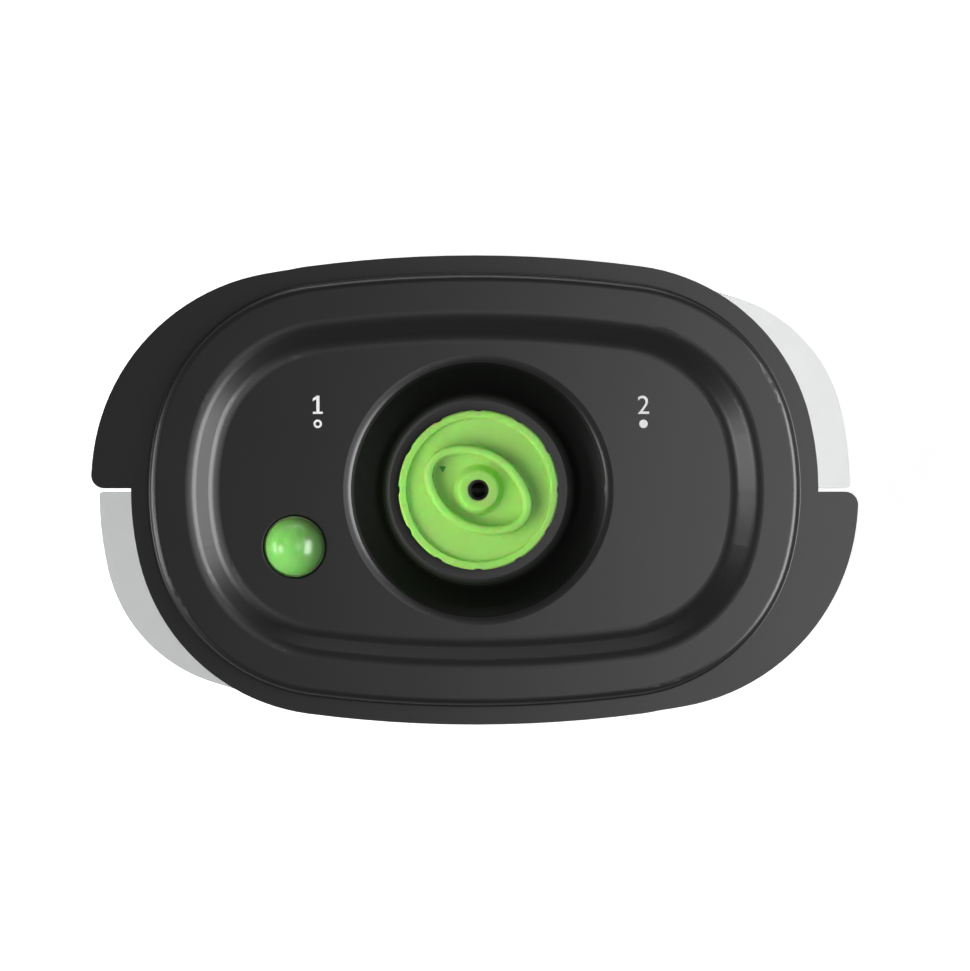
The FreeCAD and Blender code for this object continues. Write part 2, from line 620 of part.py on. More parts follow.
def make_tray():
    """Clear moulded food tray: rim, leaning wall, foot ring and two pry tabs."""
    body = new_body("tray")
    wall_top = f"{RIM_INSET} + rim_width - tray_wall"
    tabbed_plate(body, "tray", -1, TRAY_TAB, "tray_tab_wall", wall_top, f"{wall_top} + tray_wall/2")
    inside = f"{HALF} - {RIM_INSET} - rim_width"
    outside = f"{inside} + tray_wall"
    foot_end = f"{outside} - tray_lean - foot_run"
    floor_end = f"{foot_end} - floor_lap"
    sweep_round(body, "wall", [
        (f"{HALF} - {RIM_INSET}", "tray_height", "rim_round"),
        (inside, "tray_height", "rim_round"),
        (f"{inside} - tray_lean", "foot_height + tray_floor", "tray_round - tray_wall"),
        (floor_end, "foot_height + tray_floor"),
        (floor_end, "foot_height"),
        (foot_end, "foot_height"),
        (foot_end, "0", "rim_round"),
        (f"{outside} - tray_lean", "0", "tray_round"),
        (outside, TRAY_TAB, "rim_round"),
        (f"{HALF} - {RIM_INSET}", TRAY_TAB, "rim_round"),
    ])
    floor = new_sketch(body, "floor_outline", height="foot_height")
    oval(floor, f"{HALF} - ({floor_end})")
    pad(body, "floor", floor, "tray_floor")
    return body


def make_lid_shell():
    """Black moulded lid: skirt, stepped rim, recess, dial well with its hub, indicator guide."""
    body = new_body("lid_shell")
    tabbed_plate(body, "lid", 1, FLANGE, "lid_wall", "0", "step_inset")
    slope_top, slope_end = f"{HALF} - recess_inset", f"{HALF} - recess_inset - recess_run"
    step, rib = f"{HALF} - step_inset", f"{HALF} - {PLUG_INSET}"
    sweep_round(body, "rim", [
        (HALF, SKIRT, "edge_round/2"),
        (HALF, FLANGE, "edge_round"),
        (step, FLANGE, "step_foot"),
        (step, LAND, "step_lip"),
        (slope_top, LAND, "recess_round"),
        (slope_end, RECESS, "recess_round"),
        (f"{HALF} - {RECESS_END}", RECESS),
        (f"{HALF} - {RECESS_END}", f"{RECESS} - lid_wall"),
        (slope_end, f"{RECESS} - lid_wall", "recess_round"),
        (slope_top, f"{LAND} - lid_wall", "recess_round"),
        (f"{rib} - plug_wall", f"{LAND} - lid_wall", "edge_round"),
        (f"{rib} - plug_wall", SKIRT, "edge_round"),
        (rib, SKIRT, "edge_round"),
        (rib, f"{FLANGE} - lid_wall"),
        (f"{HALF} - lid_wall", f"{FLANGE} - lid_wall"),
        (f"{HALF} - lid_wall", SKIRT, "edge_round/2"),
    ])
    floor = new_sketch(body, "floor_outline", height=f"{RECESS} - lid_wall")
    oval(floor, RECESS_END)
    pad(body, "floor", floor, "lid_wall")
    mouth = new_sketch(body, "mouth_outline", height=RECESS)
    circle(mouth, "well_mouth + well_lap", "dial_x")
    pocket(body, "mouth", mouth, "lid_wall")
    under, bead = f"{WELL} - lid_wall", f"{WELL} + {BEAD}"
    revolve(body, "well", [
        ("well_mouth + well_lap", RECESS),
        ("well_mouth", RECESS, "well_lip"),
        (WELL_BASE, WELL, "well_foot"),
        (HUB_BORE, WELL),
        (HUB_BORE, f"{WELL} - hub_depth"),
        (HUB, f"{WELL} - hub_depth"),
        (HUB, under),
        (f"{SPIGOT} - spigot_wall", under),
        (f"{SPIGOT} - spigot_wall", f"{bead} - snap_length"),
        (SPIGOT, f"{bead} - snap_length"),
        (f"{SPIGOT} + snap_bead", bead),
        (SPIGOT, f"{bead} + snap_length"),
        (SPIGOT, under),
        (f"{WELL_BASE} + {WELL_SHIFT}", under, "well_foot + lid_wall"),
        (f"well_mouth + {WELL_SHIFT}", f"{RECESS} - lid_wall"),
        ("well_mouth + well_lap", f"{RECESS} - lid_wall"),
    ], "dial_x")
    vent = new_sketch(body, "vent_outline", height=WELL)
    circle(vent, "vent_radius", f"dial_x + {VENT_CIRCLE}*cos(knob_angle)",
           f"{VENT_CIRCLE}*sin(knob_angle)")
    pocket(body, "vent", vent, "lid_wall")
    stops = new_sketch(body, "stop_outline", height=WELL)
    lead = f"(2*stop_pin + stop_gap)/{STOP_CIRCLE}*180/pi"
    for angle in (f"(knob_angle + 90 + {lead})", f"(knob_angle + 90 - knob_turn - {lead})"):
        circle(stops, "stop_pin", f"dial_x + {STOP_CIRCLE}*cos({angle})",
               f"{STOP_CIRCLE}*sin({angle})")
    pad(body, "stops", stops, f"{PLATE_UNDER} - knob_over")
    guide = new_sketch(body, "guide_outline", height=f"{RECESS} - {GUIDE_DEPTH}")
    for radius in (GUIDE_BORE, f"{GUIDE_BORE} + guide_wall"):
        circle(guide, radius, "indicator_x", "indicator_y")
    pad(body, "guide", guide, f"{GUIDE_DEPTH} - lid_wall")
    dome = new_sketch(body, "dome_outline", height=RECESS)
    circle(dome, DOME_HOLE, "indicator_x", "indicator_y")
    hole = pocket(body, "dome_hole", dome, "lid_wall")
    mouth_centre = FreeCAD.Vector(size("indicator_x"), size("indicator_y"), size(RECESS))
    mouth_radius = size(DOME_HOLE)

    def on_hole(edge):
        ring = edge.Curve
        return (isinstance(ring, Part.Circle) and abs(ring.Radius - mouth_radius) < TOUCH
                and ring.Center.distanceToPoint(mouth_centre) < TOUCH)

    soften(body, "dome_hole_edge", hole, on_hole, "dome_lip")
    return body


def make_lid_gasket():
    """Silicone ring between the lid's flange and the tray's rim."""
    body = new_body("lid_gasket")
    outer, inner = f"{HALF} - lid_wall - gasket_gap", f"{HALF} - {PLUG_INSET} + gasket_gap"
    sweep_round(body, "ring", [
        (outer, "tray_height", "gasket_round"),
        (outer, "tray_height + gasket_height"),
        (inner, "tray_height + gasket_height"),
        (inner, "tray_height", "gasket_round"),
    ])
    return body


def grip_oval(sketch, inset):
    """Draw the grip ring's oval, moved in by an inset: two end arcs and two side arcs."""
    along, across, end = [f"({reach} - {inset})" for reach in (GRIP_ALONG, GRIP_ACROSS, "grip_end")]
    end_x = f"({along} - {end})"
    side = f"(({end_x}^2 + {across}^2 - {end}^2)/(2*({across} - {end})))"
    end_centre = FreeCAD.Vector(size(end_x), 0, 0)
    side_centre = FreeCAD.Vector(0, size(f"{across} - {side}"), 0)
    joint = side_centre + (end_centre - side_centre).normalize()*size(side)
    corners = [mirrored(joint, *flip) for flip in ((1, 1), (-1, 1), (-1, -1), (1, -1))]
    arcs = [
        arc(end_centre, size(end), corners[3], corners[0]),
        arc(side_centre, size(side), corners[0], corners[1]),
        arc(-end_centre, size(end), corners[1], corners[2]),
        arc(-side_centre, size(side), corners[2], corners[3]),
    ]
    items = [sketch.addGeometry(item) for item in arcs]
    for item, following in zip(items, items[1:] + items[:1]):
        sketch.addConstraint(Sketcher.Constraint("Tangent", item, 2, following, 1))
    for item, sign in ((items[0], ""), (items[2], "-")):
        fix_point(sketch, item, 3, f"{sign}{end_x}", "0")
        constrain(sketch, end, "Radius", item)
    for item, sign in ((items[1], ""), (items[3], "-")):
        constrain(sketch, f"{sign}({across} - {side})", "DistanceY", -1, 1, item, 3)


def make_knob():
    """Green dial with its grip ring and port, and the hollow stem under it."""
    body = new_body("knob", "dial_x", z=WELL)
    body.setExpression("Placement.Rotation.Angle", bound("knob_angle"))
    rim_inside = "knob_radius - knob_rim_width"
    ring_floor = f"{HUB_BORE} - disc_gap - 2*o_ring_wire"
    clip_floor = "stem_radius - clip_groove"
    revolve(body, "dial", [
        (PORT, BOSS_TOP, "port_lead"),
        (f"{PORT} + boss_wall", BOSS_TOP, "boss_round"),
        (BOSS_FOOT, "dish_height", "dish_round"),
        (rim_inside, "dish_height", "dish_round"),
        (rim_inside, RIM_TOP, "knob_rim_round/2"),
        ("knob_radius", RIM_TOP, "knob_rim_round"),
        ("knob_radius", "knob_gap", "knob_rim_round/2"),
        (SKIRT_INSIDE, "knob_gap"),
        (SKIRT_INSIDE, PLATE_UNDER),
        (CUP_OUTSIDE, PLATE_UNDER),
        (CUP_OUTSIDE, "knob_over"),
        (DISC_ROOM, "knob_over"),
        (DISC_ROOM, PLATE_UNDER),
        ("stem_radius", PLATE_UNDER),
        ("stem_radius", "o_ring_wire - o_ring_drop"),
        (ring_floor, "o_ring_wire - o_ring_drop"),
        (ring_floor, "-o_ring_wire - o_ring_drop"),
        ("stem_radius", "-o_ring_wire - o_ring_drop"),
        ("stem_radius", f"{CLIP_TOP} + clip_play"),
        (clip_floor, f"{CLIP_TOP} + clip_play"),
        (clip_floor, CLIP_BASE),
        ("stem_radius", CLIP_BASE),
        ("stem_radius", STEM_END),
        (VALVE_BORE, STEM_END),
        (VALVE_BORE, VALVE_SEAT),
        (VALVE_ROOM, VALVE_SEAT),
        (VALVE_ROOM, f"{VALVE_SEAT} + valve_room_height"),
        ("bore_radius", f"{VALVE_SEAT} + valve_room_height"),
        ("bore_radius", f"{BOSS_TOP} - port_depth"),
        (PORT, f"{BOSS_TOP} - port_depth"),
    ])
    notch = new_sketch(body, "notch_outline", height=RIM_TOP)
    circle(notch, "notch_radius", "knob_radius + notch_radius - notch_depth")
    repeat(body, "notches", pocket(body, "notch", notch, RIM_TOP), "notch_count")
    grip = new_sketch(body, "grip_outline", height="dish_height")
    for inset in ("0", "grip_wall"):
        grip_oval(grip, inset)
    ring = pad(body, "grip", grip, "grip_rise")
    foot, top = size("dish_height"), size("dish_height + grip_rise")

    def on_grip(edge, height):
        bend, bounds = edge.Curve, edge.BoundBox
        level = abs(bounds.ZMin - height) < TOUCH and abs(bounds.ZMax - height) < TOUCH
        return (level and isinstance(bend, Part.Circle)
                and math.hypot(bend.Center.x, bend.Center.y) > TOUCH)

    rounded = soften(body, "grip_top", ring, lambda edge: on_grip(edge, top), "grip_round")
    soften(body, "grip_foot", rounded, lambda edge: on_grip(edge, foot), "grip_foot")
    pointer = new_sketch(body, "pointer_outline", height="dish_height")
    outline(pointer, [
        (f"pointer_circle + {way}*pointer_height/2*cos(pointer_turn) - {side}*sin(pointer_turn)",
         f"{way}*pointer_height/2*sin(pointer_turn) + {side}*cos(pointer_turn)")
        for way, side in ((1, "0"), (-1, "pointer_width/2"), (-1, "(-pointer_width/2)"))])
    pocket(body, "pointer", pointer, "pointer_depth")
    gallery = new_sketch(body, "gallery_outline", "YZ_Plane")
    circle(gallery, "gallery_radius", "0", f"{PLATE_UNDER}/2")
    pocket(body, "gallery", gallery, HUB_BORE, both_ways=True)
    lug = new_sketch(body, "lug_outline", height="knob_gap")
    circle(lug, "stop_pin", "0", STOP_CIRCLE)
    pad(body, "lug", lug, f"{PLATE_UNDER} - knob_gap")
    key = new_sketch(body, "key_outline", height="knob_over")
    key_end = f"({DISC_ROOM} - disc_key_depth)"
    box(key, f"-({DISC_ROOM} + disc_cup/2 + {key_end})/2", "0",
        f"{DISC_ROOM} + disc_cup/2 - {key_end}", "disc_key")
    pad(body, "key", key, f"{PLATE_UNDER} - knob_over")
    return body


def make_port_seal():
    """Silicone bush that lines the port, guides a hose nozzle in and grips it."""
    body = new_body("port_seal", "dial_x", z=WELL)
    top, base = f"{BOSS_TOP} - port_lead", f"{BOSS_TOP} - port_depth"
    revolve(body, "bush", [
        ("bore_radius", base), (PORT, base), (PORT, top),
        (f"{PORT} - seal_lip", top), ("bore_radius", f"{top} - seal_lead"),
    ])
    return body


def make_valve_disc():
    """Silicone ring under the dial: its notch uncovers the vent hole in one position."""
    body = new_body("valve_disc", "dial_x", z=WELL)
    body.setExpression("Placement.Rotation.Angle", bound("knob_angle"))
    revolve(body, "ring", [
        (DISC_BORE, "disc_gap"), (DISC, "disc_gap", "gasket_round"),
        (DISC, PLATE_UNDER), (DISC_BORE, PLATE_UNDER),
    ])
    notch = new_sketch(body, "notch_outline", height=PLATE_UNDER)
    notch_end = f"({VENT_CIRCLE} + disc_notch/2)"
    box(notch, f"{notch_end}/2", "0", notch_end, "disc_notch")
    pocket(body, "notch", notch, PLATE_UNDER)
    key = new_sketch(body, "key_outline", height=PLATE_UNDER)
    key_end = f"({DISC_ROOM} - disc_key_depth - disc_gap)"
    box(key, f"-({CUP_OUTSIDE} + {key_end})/2", "0", f"{CUP_OUTSIDE} - {key_end}",
        "disc_key + 2*disc_gap")
    pocket(body, "key_slot", key, PLATE_UNDER)
    return body


def make_thrust_washer():
    """Washer between the hub and the stem spring."""
    body = new_body("thrust_washer", "dial_x", z=WELL)
    revolve(body, "washer", [
        (HUB_BORE, SPRING_TOP), (HUB, SPRING_TOP), (HUB, WASHER_TOP), (HUB_BORE, WASHER_TOP),
    ])
    return body


def make_retaining_clip():
    """Spring-steel C-clip in the stem's groove."""
    body = new_body("retaining_clip", "dial_x", z=WELL)
    outside = "(stem_radius + clip_width)"
    ring = new_sketch(body, "ring_outline", height=CLIP_BASE)
    for radius in ("stem_radius - clip_groove + clip_play", outside):
        circle(ring, radius)
    pad(body, "ring", ring, "clip_wall")
    mouth = new_sketch(body, "mouth_outline", height=CLIP_TOP)
    box(mouth, outside, "0", f"2*{outside}", "clip_mouth")
    pocket(body, "mouth", mouth, "clip_wall")
    return body


def bill_section(body, name, height, along, across, rounding):
    """One section of the duckbill: a rectangle with round corners."""
    sketch = new_sketch(body, name, height=height)
    outline(sketch, [(f"{x}*({along})/2", f"{y}*({across})/2", rounding)
                     for x, y in ((-1, -1), (1, -1), (1, 1), (-1, 1))])
    return sketch


def make_check_valve():
    """Silicone duckbill: its flat lips open upwards to let air out and shut against it."""
    body = new_body("check_valve", "dial_x", z=f"{WELL} + {STEM_END} + retainer_wall")
    flange = new_sketch(body, "flange_outline")
    circle(flange, f"{VALVE_BORE} - disc_gap")
    pad(body, "flange", flange, "valve_flange")
    lips = "valve_flange + bill_height"
    lip_length = f"{BILL_ROOT} + bill_flare"
    hollow, slit = f"{BILL_ROOT} - 2*bill_wall", f"{lip_length} - 2*bill_wall"
    for kind, root, tip, base in (
            ("Additive", (BILL_ROOT, BILL_ROOT), (lip_length, "bill_lip"), "valve_flange"),
            ("Subtractive", (hollow, hollow), (slit, "bill_slit"), "0")):
        loft = body.newObject(f"PartDesign::{kind}Loft", f"bill_{kind}")
        loft.Profile = bill_section(body, f"{kind}_root", base, *root, f"bill_round*({root[1]})")
        loft.Sections = [bill_section(body, f"{kind}_tip", lips, *tip, f"bill_round*({tip[1]})")]
        loft.Ruled = True
    return body


def make_valve_retainer():
    """Bush pressed into the stem's end, which holds the duckbill's flange."""
    body = new_body("valve_retainer", "dial_x", z=f"{WELL} + {STEM_END}")
    bore = f"{VALVE_BORE} - retainer_lip"
    revolve(body, "bush", [
        (bore, "0"), (VALVE_BORE, "0"), (VALVE_BORE, "retainer_wall"), (bore, "retainer_wall"),
    ])
    return body


def make_splash_guard():
    """Vented cap that snaps over the spigot under the well."""
    body = new_body("splash_guard", "dial_x", z=WELL)
    inside = f"({SPIGOT} + guard_gap)"
    outside = f"({inside} + guard_wall)"
    floor = f"({STEM_END} - guard_room)"
    revolve(body, "cap", [
        ("0", floor),
        (inside, floor, "guard_round - guard_wall"),
        (inside, f"{BEAD} - snap_length"),
        (f"{inside} + snap_bead", BEAD),
        (inside, f"{BEAD} + snap_length"),
        (inside, "-lid_wall"),
        (outside, "-lid_wall"),
        (outside, f"{floor} - guard_wall", "guard_round"),
        ("0", f"{floor} - guard_wall"),
    ])
    vent = new_sketch(body, "vent_outline", height="-lid_wall - spigot_depth - guard_vent_gap")
    box(vent, f"({inside} + {outside})/2", "0", "2*guard_wall", "guard_vent_width")
    repeat(body, "vents", pocket(body, "vent", vent, "guard_vent_height"), "guard_vents")
    return body


def make_indicator_button():
    """Green dome on a hollow piston."""
    body = new_body("indicator_button", "indicator_x", "indicator_y", RECESS)
    top, base = "-lid_wall", "-lid_wall - piston_height"
    middle = "(-lid_wall - piston_height/2)"
    crown = f"{CAVITY} - spring_ledge"
    revolve(body, "piston", [
        ("0", "crown_height"),
        (crown, "crown_height", "crown_round"),
        (crown, "-spring_seat"),
        (CAVITY, "-spring_seat"),
        (CAVITY, base),
        (PISTON, base),
        (PISTON, f"{middle} - piston_ring_wire"),
        (RING_GROOVE, f"{middle} - piston_ring_wire"),
        (RING_GROOVE, f"{middle} + piston_ring_wire"),
        (PISTON, f"{middle} + piston_ring_wire"),
        (PISTON, top),
        ("dome_radius", top),
        ("dome_radius", "0", None, "(dome_radius^2 + dome_height^2)/(2*dome_height)"),
        ("0", "dome_height"),
    ])
    return body


def make_indicator_cup():
    """Cap that closes the guide, carries the spring and lets the vacuum reach the piston."""
    body = new_body("indicator_cup", "indicator_x", "indicator_y", f"{RECESS} - {GUIDE_DEPTH}")
    inside = f"{GUIDE_BORE} + guide_wall + cup_gap"
    outside = f"{inside} + cup_wall"
    revolve(body, "cup", [
        ("cup_vent", "-cup_wall"), (outside, "-cup_wall", "edge_round"),
        (outside, "cup_height - cup_wall"), (inside, "cup_height - cup_wall"),
        (inside, "0"), ("cup_vent", "0"),
    ])
    return body


pieces = [
    make_tray(),
    make_lid_shell(),
    make_lid_gasket(),
    make_knob(),
    make_port_seal(),
    make_valve_disc(),
    o_ring("stem_o_ring", f"{HUB_BORE} - disc_gap - o_ring_wire", "o_ring_wire",
           "dial_x", "0", f"{WELL} - o_ring_drop"),
    make_thrust_washer(),
    spring("stem_spring", "dial_x", "0", f"{WELL} + {CLIP_TOP}", "stem_spring_height",
           f"({HUB_BORE} + {HUB})/2", "stem_spring_wire", "stem_spring_turns"),
    make_retaining_clip(),
    make_check_valve(),
    make_valve_retainer(),
    make_splash_guard(),
    make_indicator_button(),
    o_ring("indicator_o_ring", PISTON_RING, "piston_ring_wire",
           "indicator_x", "indicator_y", f"{RECESS} - lid_wall - piston_height/2"),
    spring("indicator_spring", "indicator_x", "indicator_y", f"{RECESS} - {GUIDE_DEPTH}",
           f"{GUIDE_DEPTH} - spring_seat", f"{CAVITY} - spring_gap - indicator_spring_wire",
           "indicator_spring_wire", "indicator_spring_turns"),
    make_indicator_cup(),
]
doc.recompute()

failed = [item.Label for item in doc.Objects if {"Invalid", "Error"} & set(item.State)]
if failed:
    raise RuntimeError(f"failed to build: {failed}")
for piece in pieces:
    if piece.Shape.isNull() or not piece.Shape.isValid() or len(piece.Shape.Solids) != 1:
        raise RuntimeError(f"{piece.Label} is not one valid solid")

os.makedirs("parts", exist_ok=True)
for piece in pieces:
    piece.Shape.exportStep(f"parts/{piece.Label}.step")
    bounds = piece.Shape.BoundBox
    print(f"{piece.Label}: {piece.Shape.Volume/1000:.2f} cm3, "
          f"z {bounds.ZMin:.2f} to {bounds.ZMax:.2f} mm")
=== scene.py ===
import math

import bpy
from mathutils import Matrix, Vector


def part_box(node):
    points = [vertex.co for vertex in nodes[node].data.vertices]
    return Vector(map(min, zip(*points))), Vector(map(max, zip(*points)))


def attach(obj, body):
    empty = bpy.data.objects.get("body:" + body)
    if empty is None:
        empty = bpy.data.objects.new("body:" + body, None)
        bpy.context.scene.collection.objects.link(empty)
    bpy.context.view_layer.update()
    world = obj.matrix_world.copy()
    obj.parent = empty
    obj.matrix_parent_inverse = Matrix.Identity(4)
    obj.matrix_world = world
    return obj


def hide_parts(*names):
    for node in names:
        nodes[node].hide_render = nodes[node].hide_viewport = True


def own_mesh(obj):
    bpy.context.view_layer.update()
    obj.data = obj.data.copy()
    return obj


# An oval vacuum food canister, dressed in the order in which it is put together: the clear tray,
# the lid with its gasket and marks, the dial with its stem, the indicator, then the studio.
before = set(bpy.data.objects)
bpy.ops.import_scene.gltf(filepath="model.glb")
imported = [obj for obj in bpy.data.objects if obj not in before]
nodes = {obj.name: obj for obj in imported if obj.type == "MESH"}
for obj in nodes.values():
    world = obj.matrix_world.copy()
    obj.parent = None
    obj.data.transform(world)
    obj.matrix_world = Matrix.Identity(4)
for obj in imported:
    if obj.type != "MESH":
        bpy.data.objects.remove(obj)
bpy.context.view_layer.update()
MM = 0.001


# Tray: one moulding of clear styrene acrylonitrile (SAN), with its rim, foot ring and pry tabs.
# The polished mould leaves it bright; its even grey tint is partly the plastic's own faint grey and
# partly painted shade for the shadowed floor seen through it.
def linear(code):
    """Return a colour written as sRGB hex as linear red, green, blue and alpha."""
    parts = [int(code[i:i + 2], 16)/255 for i in (1, 3, 5)]
    return [c/12.92 if c <= 0.04045 else ((c + 0.055)/1.055)**2.4 for c in parts] + [1.0]


def add(tree, kind, settings, inputs):
    """Add a node to a tree; an input is a value, or another node's output to link to it."""
    node = tree.nodes.new(kind)
    for name, value in settings.items():
        setattr(node, name, value)
    for name, value in inputs.items():
        if isinstance(value, bpy.types.NodeSocket):
            tree.links.new(value, node.inputs[name])
        else:
            node.inputs[name].default_value = value
    return node


def new_material(name):
    """Return a new material, its cleared node tree, its object coordinates and its surface input."""
    material = bpy.data.materials.new(name)
    material.use_nodes = True
    tree = material.node_tree
    tree.nodes.clear()
    place = add(tree, "ShaderNodeTexCoord", {}, {}).outputs["Object"]
    output = add(tree, "ShaderNodeOutputMaterial", {}, {})
    return material, tree, place, output.inputs["Surface"]


def dress(material, slot, *names):
    """Give CAD nodes a finish in place of their plain colour."""
    for name in names:
        nodes[name].material_slots[0].material = material


FLOW_MM = 38        # width of the faint flow marks that the melt leaves in a clear wall
FLOW_DEPTH_MM = 0.05

clear_san, tree, place, surface = new_material("SAN_clear_moulded")
flow = add(tree, "ShaderNodeTexNoise", {}, {"Vector": place, "Scale": 1/(FLOW_MM*MM), "Detail": 2.0})
ripple = add(tree, "ShaderNodeBump", {}, {
    "Height": flow.outputs["Fac"], "Strength": 0.5, "Distance": FLOW_DEPTH_MM*MM})
haze = add(tree, "ShaderNodeMapRange", {}, {
    "Value": flow.outputs["Fac"], "To Min": 0.06, "To Max": 0.14})
# The grey base colour is partly painted shade for the floor seen through the tray.
shader = add(tree, "ShaderNodeBsdfPrincipled", {}, {
    "Base Color": linear("#cacccc"), "Roughness": haze.outputs["Result"], "IOR": 1.57,
    "Transmission Weight": 1.0, "Normal": ripple.outputs["Normal"]})
tree.links.new(shader.outputs["BSDF"], surface)
dress(clear_san, "tray_clear", "tray")


# Lid gasket: an endless ring of grey silicone, pressed up between the lid's skirt and its rib.
# Compression moulded, so it is dull, with a powdery bloom; the valve disc and the duckbill are
# moulded from the same.
BLOOM_MM = 1.6

grey_silicone, tree, place, surface = new_material("silicone_grey_moulded")
bloom = add(tree, "ShaderNodeTexNoise", {}, {"Vector": place, "Scale": 1/(BLOOM_MM*MM), "Detail": 4.0})
tone = add(tree, "ShaderNodeMix", {"data_type": "RGBA"}, {
    "Factor": bloom.outputs["Fac"], "A": linear("#8f9192"), "B": linear("#a7a9aa")})
shader = add(tree, "ShaderNodeBsdfPrincipled", {}, {
    "Base Color": tone.outputs["Result"], "Roughness": 0.62, "IOR": 1.41})
tree.links.new(shader.outputs["BSDF"], surface)
dress(grey_silicone, "silicone_grey", "lid_gasket", "valve_disc", "check_valve")


# Lid: one moulding of black polypropylene with the skirt, the stepped rim, the recess, the dial's
# well and two pry tabs. The mould is spark eroded, which gives a satin face with a fine grain;
# the wall of the well is a little rougher, and its reflection is turned far down as painted shade, so it
# looks darker.
LID_DARK, LID_LIGHT = "#060606", "#090909"
GRAIN_MM = 0.9      # the real grain is about 0.15; drawn coarser, so that it shows
GRAIN_DEPTH_MM = 0.02
SHEEN_MM = 30       # slow drift of the gloss along the flow of the melt
DIAL_X_MM = 1.4     # the axis of the well and the dial along the lid
WELL_MM, WELL_LOW_MM, WELL_HIGH_MM = 48, 74.0, 86.2     # radius and levels round the wall with painted shade

black_lid, tree, place, surface = new_material("polypropylene_black_spark_eroded")
grain = add(tree, "ShaderNodeTexNoise", {}, {"Vector": place, "Scale": 1/(GRAIN_MM*MM), "Detail": 3.0})
bumps = add(tree, "ShaderNodeBump", {}, {
    "Height": grain.outputs["Fac"], "Strength": 0.6, "Distance": GRAIN_DEPTH_MM*MM})
drift = add(tree, "ShaderNodeTexNoise", {}, {"Vector": place, "Scale": 1/(SHEEN_MM*MM), "Detail": 1.0})
gloss = add(tree, "ShaderNodeMapRange", {}, {
    "Value": drift.outputs["Fac"], "To Min": 0.33, "To Max": 0.36})
tone = add(tree, "ShaderNodeMix", {"data_type": "RGBA"}, {
    "Factor": grain.outputs["Fac"], "A": linear(LID_DARK), "B": linear(LID_LIGHT)})
shader = add(tree, "ShaderNodeBsdfPrincipled", {}, {
    "Base Color": tone.outputs["Result"], "Roughness": gloss.outputs["Result"], "IOR": 1.49,
    "Specular IOR Level": 0.25, "Normal": bumps.outputs["Normal"]})
tree.links.new(shader.outputs["BSDF"], surface)
dress(black_lid, "lid_black", "lid_shell")

# The wall of the well: a little rougher, with its reflection turned down to 0.06 as painted shade.
painted_shade_wall, tree, place, surface = new_material("polypropylene_black_painted_shade")
grain = add(tree, "ShaderNodeTexNoise", {}, {"Vector": place, "Scale": 1/(GRAIN_MM*MM), "Detail": 3.0})
tone = add(tree, "ShaderNodeMix", {"data_type": "RGBA"}, {
    "Factor": grain.outputs["Fac"], "A": linear(LID_DARK), "B": linear(LID_LIGHT)})
shader = add(tree, "ShaderNodeBsdfPrincipled", {}, {
    "Base Color": tone.outputs["Result"], "Roughness": 0.45, "IOR": 1.49, "Specular IOR Level": 0.06})
tree.links.new(shader.outputs["BSDF"], surface)
lid_mesh = nodes["lid_shell"].data
shade_wall_slot = len(lid_mesh.materials)
lid_mesh.materials.append(painted_shade_wall)
for face in lid_mesh.polygons:
    in_well = math.hypot(face.center.x - DIAL_X_MM*MM, face.center.y) < WELL_MM*MM
    on_wall = WELL_LOW_MM*MM < face.center.z < WELL_HIGH_MM*MM
    faces_up = face.normal.z > 0
    if in_well and on_wall and faces_up:
        face.material_index = shade_wall_slot


# Marks of the dial's two positions: pad-printed white ink on the floor of the recess, a little
# speckled. Number 1 with an open ring stands for the open vent, number 2 with a filled dot for
# the shut one.
SPECKLE_MM = 0.5
PRINT_LEVEL_MM = 87.3
PRINT_THICK_MM = 0.03
MARK_1_X_MM, MARK_2_X_MM, MARKS_Y_MM = -59.3, 63.8, 32.2
NUMERAL_MM, ONE_TALL_MM = 10.0, 6.9    # a font size, and the height that it gives a numeral
ONE_OUTLINE = (     # a numeral one with its flag and foot, as shares of its height
    (-0.27, 0), (0.27, 0), (0.27, 0.12), (0.09, 0.12), (0.09, 1), (-0.05, 1),
    (-0.28, 0.84), (-0.28, 0.69), (-0.08, 0.81), (-0.08, 0.12), (-0.27, 0.12))
DOT_MM = 3.2
DOT_DROP_MM = 7.2
RING_WALL_MM = 0.8
DOT_SIDES = 48

white_ink, tree, place, surface = new_material("pad_print_white_ink")
speckle = add(tree, "ShaderNodeTexNoise", {}, {
    "Vector": place, "Scale": 1/(SPECKLE_MM*MM), "Detail": 2.0})
tone = add(tree, "ShaderNodeMix", {"data_type": "RGBA"}, {
    "Factor": speckle.outputs["Fac"], "A": linear("#d9d9d7"), "B": linear("#f2f2f0")})
shader = add(tree, "ShaderNodeBsdfPrincipled", {}, {
    "Base Color": tone.outputs["Result"], "Roughness": 0.5, "IOR": 1.5})
tree.links.new(shader.outputs["BSDF"], surface)


def meshed(drawn):
    """Turn a curve or an object with a modifier into a mesh, and remove the object."""
    bpy.context.scene.collection.objects.link(drawn)
    bpy.context.view_layer.update()
    mesh = bpy.data.meshes.new_from_object(drawn.evaluated_get(bpy.context.evaluated_depsgraph_get()))
    bpy.data.objects.remove(drawn)
    return mesh


def printed(name, curve, x_mm, y_mm):
    """Turn a flat curve or text into a thin layer of ink on the recess, centred on x, y."""
    curve.dimensions = "2D"
    curve.fill_mode = "BOTH"
    curve.extrude = PRINT_THICK_MM*MM/2
    mesh = meshed(bpy.data.objects.new(f"{name}_curve", curve))
    xs = [v.co.x for v in mesh.vertices]
    ys = [v.co.y for v in mesh.vertices]
    middle = Vector(((min(xs) + max(xs))/2, (min(ys) + max(ys))/2, -PRINT_THICK_MM*MM))
    mesh.transform(Matrix.Translation(Vector((x_mm*MM, y_mm*MM, PRINT_LEVEL_MM*MM)) - middle))
    mesh.materials.append(white_ink)
    mark = bpy.data.objects.new(name, mesh)
    bpy.context.scene.collection.objects.link(mark)
    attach(mark, "lid")


